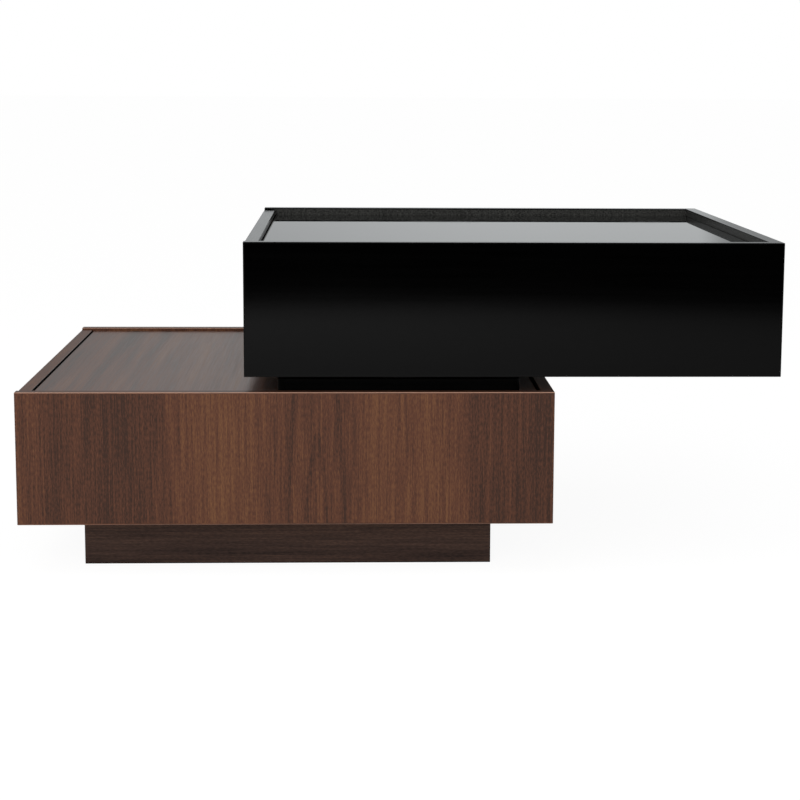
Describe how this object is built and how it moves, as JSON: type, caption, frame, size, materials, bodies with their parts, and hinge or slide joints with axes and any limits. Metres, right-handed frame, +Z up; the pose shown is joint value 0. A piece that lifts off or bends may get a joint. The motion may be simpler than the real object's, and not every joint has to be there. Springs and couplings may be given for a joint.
{
  "type": "swivel coffee table",
  "caption": "Low coffee table of stacked square boxes: a black box with an inset dark glass top swivels on a walnut-look box that stands on a recessed plinth.",
  "frame": {"origin": "on the floor, under the middle of the table as it stands turned out", "axes": "+X to the right along the turned-out length, +Y away from the front, +Z up"},
  "size_m": [0.996, 0.7, 0.44],
  "materials": {
    "walnut_board": "satin walnut-look melamine",
    "walnut_edge": "paler walnut-look edge band",
    "plinth_board": "dark walnut-look melamine",
    "plain_board": "bare particle board",
    "pine": "bare softwood",
    "black_block": "matt black paint",
    "black_board": "black satin melamine with a fine grain",
    "black_edge": "black edge band",
    "black_glass": "polished, painted black behind",
    "black_steel": "black powder coat",
    "zinc_steel": "zinc plated",
    "bearing_steel": "polished",
    "nylon": "moulded",
    "glide_plastic": "moulded",
    "clear_rubber": "soft pad"
  },
  "bodies": {
    "base_box": {"base_front_panel": "walnut_board", "base_back_panel": "walnut_board", "base_left_panel": "walnut_board", "base_right_panel": "walnut_board", "base_top_panel": "walnut_board", "base_front_edge_bands": "walnut_edge", "base_back_edge_bands": "walnut_edge", "base_left_edge_bands": "walnut_edge", "base_right_edge_bands": "walnut_edge", "plinth_front_rail": "plinth_board", "plinth_back_rail": "plinth_board", "plinth_left_rail": "plinth_board", "plinth_right_rail": "plinth_board", "base_bottom_panel": "plain_board", "swivel_bearer_left": "plain_board", "swivel_bearer_right": "plain_board", "plinth_centre_rail": "pine", "plinth_corner_blocks": "pine", "base_front_cleat": "pine", "base_back_cleat": "pine", "base_left_cleat": "pine", "base_right_cleat": "pine", "base_corner_blocks": "pine", "base_dowels": "pine", "swivel_riser": "black_block", "lower_race_plate": "black_steel", "plinth_screws": "zinc_steel", "riser_screws": "zinc_steel", "lower_plate_screws": "zinc_steel", "pivot_bolt": "zinc_steel", "pivot_plate_washer": "zinc_steel", "pivot_washer": "zinc_steel", "pivot_nut": "zinc_steel", "floor_glides": "glide_plastic"},
    "ball_ring": {"ball_cage": "nylon", "bearing_balls": "bearing_steel"},
    "top_box": {"top_front_panel": "black_board", "top_back_panel": "black_board", "top_left_panel": "black_board", "top_right_panel": "black_board", "top_bottom_panel": "black_board", "top_front_edge_bands": "black_edge", "top_back_edge_bands": "black_edge", "top_left_edge_bands": "black_edge", "top_right_edge_bands": "black_edge", "top_deck": "plain_board", "top_front_cleat": "pine", "top_back_cleat": "pine", "top_left_cleat": "pine", "top_right_cleat": "pine", "top_corner_blocks": "pine", "top_dowels": "pine", "top_glass": "black_glass", "glass_pads": "clear_rubber", "upper_race_plate": "black_steel", "upper_plate_screws": "zinc_steel", "pivot_bush": "nylon"}
  },
  "joints": [
    {"name": "top_swivel", "type": "hinge", "parent": "base_box", "child": "top_box", "pos_m": [0, -0.148, 0.2615], "axis": [0, 0, 1], "continuous": true},
    {"name": "ball_ring_roll", "type": "hinge", "parent": "base_box", "child": "ball_ring", "pos_m": [0, -0.148, 0.2615], "axis": [0, 0, 1], "continuous": true}
  ],
  "couplings": [
    {"joint": "ball_ring_roll", "follows": "top_swivel", "ratio": 0.5}
  ]
}
